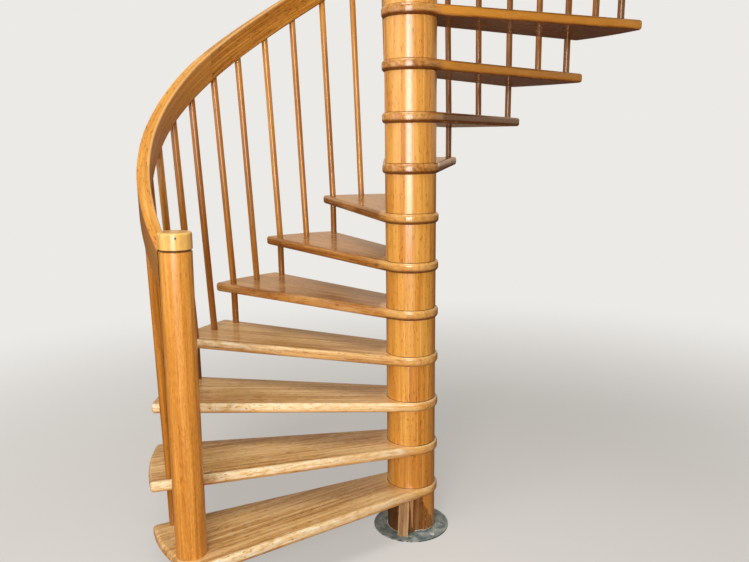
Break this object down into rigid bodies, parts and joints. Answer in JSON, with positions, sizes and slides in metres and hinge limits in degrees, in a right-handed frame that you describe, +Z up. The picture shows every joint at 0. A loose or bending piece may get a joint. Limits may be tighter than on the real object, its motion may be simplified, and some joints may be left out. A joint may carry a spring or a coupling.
{
  "type": "spiral staircase",
  "caption": "Wooden spiral stair: wedge treads round a column of drums, round balusters, a turned newel and a helical handrail, on a steel base plate.",
  "frame": {"origin": "on the column's axis, at the underside of the steel base plate", "axes": "+Z up along the column; seen along +Y the first treads reach out to the left and the stair climbs away clockwise seen from above"},
  "size_m": [2.188, 1.7866, 3.8855],
  "materials": {
    "plate_steel": "dull, worn grey-green",
    "post_steel": "mill finish",
    "drum_wood": "gloss varnish over honey-coloured staves",
    "tread_wood": "varnished, worn along the nosings of the lower treads",
    "rod_wood": "gloss varnish",
    "newel_wood": "gloss varnish, turned",
    "rail_wood": "gloss varnish over laminated strips"
  },
  "bodies": {
    "root": {"base_plate": "plate_steel", "centre_post": "post_steel", "bottom_drum": "drum_wood", "loose_slat": "drum_wood", "splinter": "drum_wood", "drums": "drum_wood", "top_drum": "drum_wood", "column_cap": "tread_wood", "tread_01": "tread_wood", "tread_02": "tread_wood", "tread_03": "tread_wood", "tread_04": "tread_wood", "tread_05": "tread_wood", "tread_06": "tread_wood", "tread_07": "tread_wood", "tread_08": "tread_wood", "tread_09": "tread_wood", "tread_10": "tread_wood", "tread_11": "tread_wood", "tread_12": "tread_wood", "tread_13": "tread_wood", "balusters_02": "rod_wood", "balusters_03": "rod_wood", "balusters_04": "rod_wood", "balusters_05": "rod_wood", "balusters_06": "rod_wood", "balusters_07": "rod_wood", "balusters_08": "rod_wood", "balusters_09": "rod_wood", "balusters_10": "rod_wood", "balusters_11": "rod_wood", "balusters_12": "rod_wood", "balusters_13": "rod_wood", "spacers": "rod_wood", "newel_post": "newel_wood", "newel_cap": "newel_wood", "handrail_1": "rail_wood", "handrail_2": "rail_wood", "handrail_3": "rail_wood", "handrail_4": "rail_wood", "handrail_5": "rail_wood", "handrail_6": "rail_wood"}
  },
  "joints": []
}
